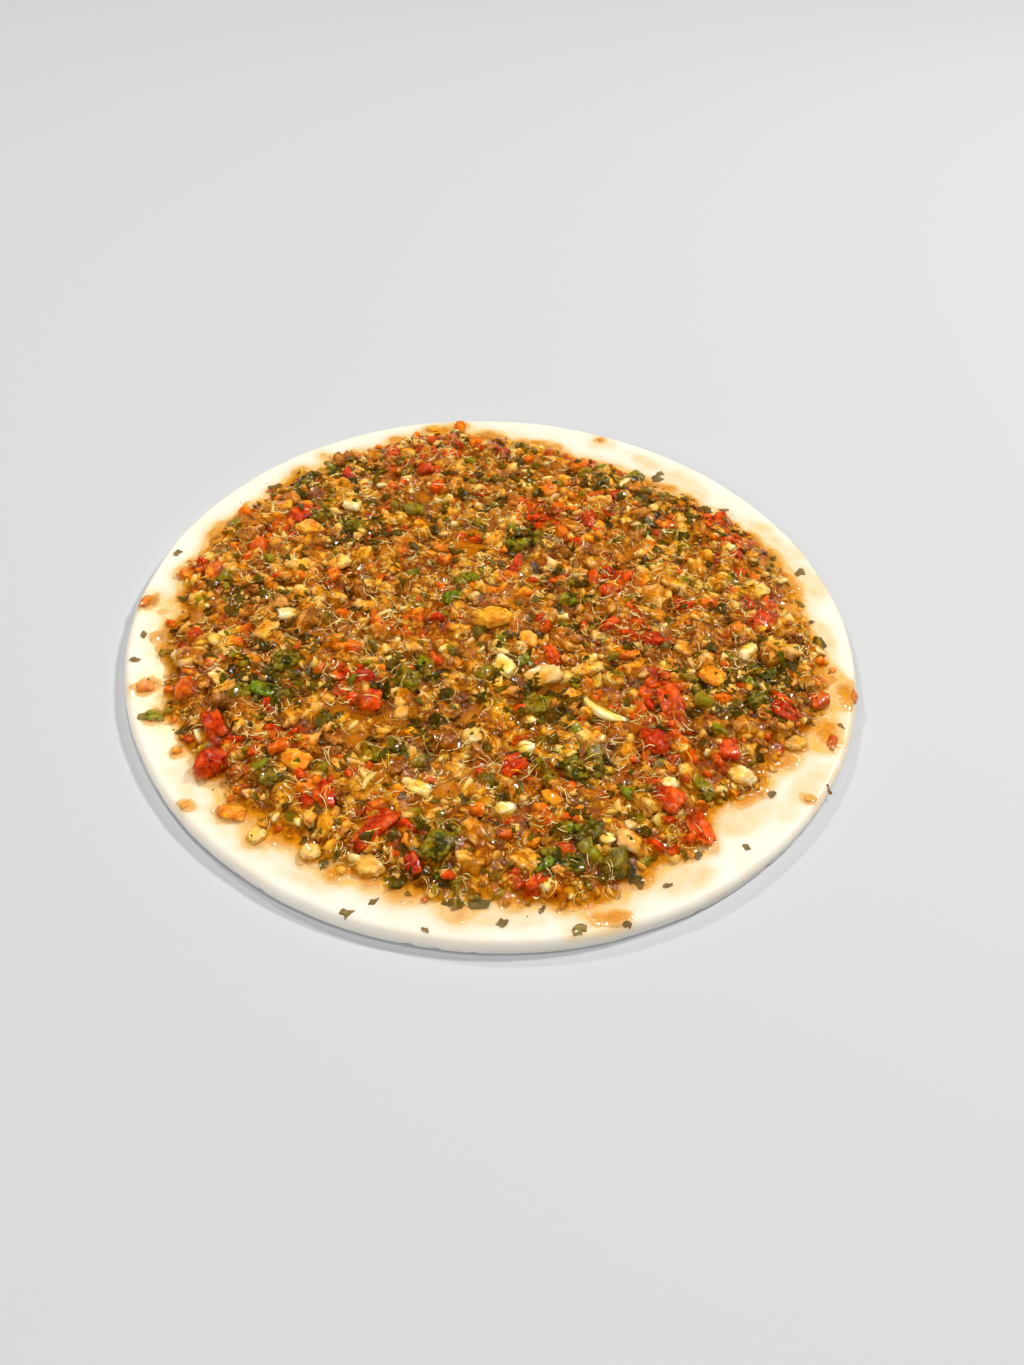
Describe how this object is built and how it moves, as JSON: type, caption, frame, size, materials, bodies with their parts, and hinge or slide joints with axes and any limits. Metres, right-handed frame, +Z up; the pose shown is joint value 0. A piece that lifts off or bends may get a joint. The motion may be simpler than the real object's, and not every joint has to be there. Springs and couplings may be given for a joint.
{
  "type": "lahmacun",
  "caption": "Raw lahmacun: a thin round of white dough, spread nearly to its rim with wet minced meat, chopped tomato, pepper, onion and parsley.",
  "frame": {"origin": "centre of the dough's flat underside", "axes": "+Z up out of the topped face; -Y is the side the picture is taken from, and +X is to its right"},
  "size_m": [0.15, 0.15, 0.0093],
  "materials": {
    "dough": "soft white raw dough, satin, stained amber by the topping near its rim",
    "topping": "wet oily chopped mince, tomato, pepper, onion and parsley in golden brown juice"
  },
  "bodies": {
    "root": {"dough": "dough", "topping": "topping"}
  },
  "joints": []
}
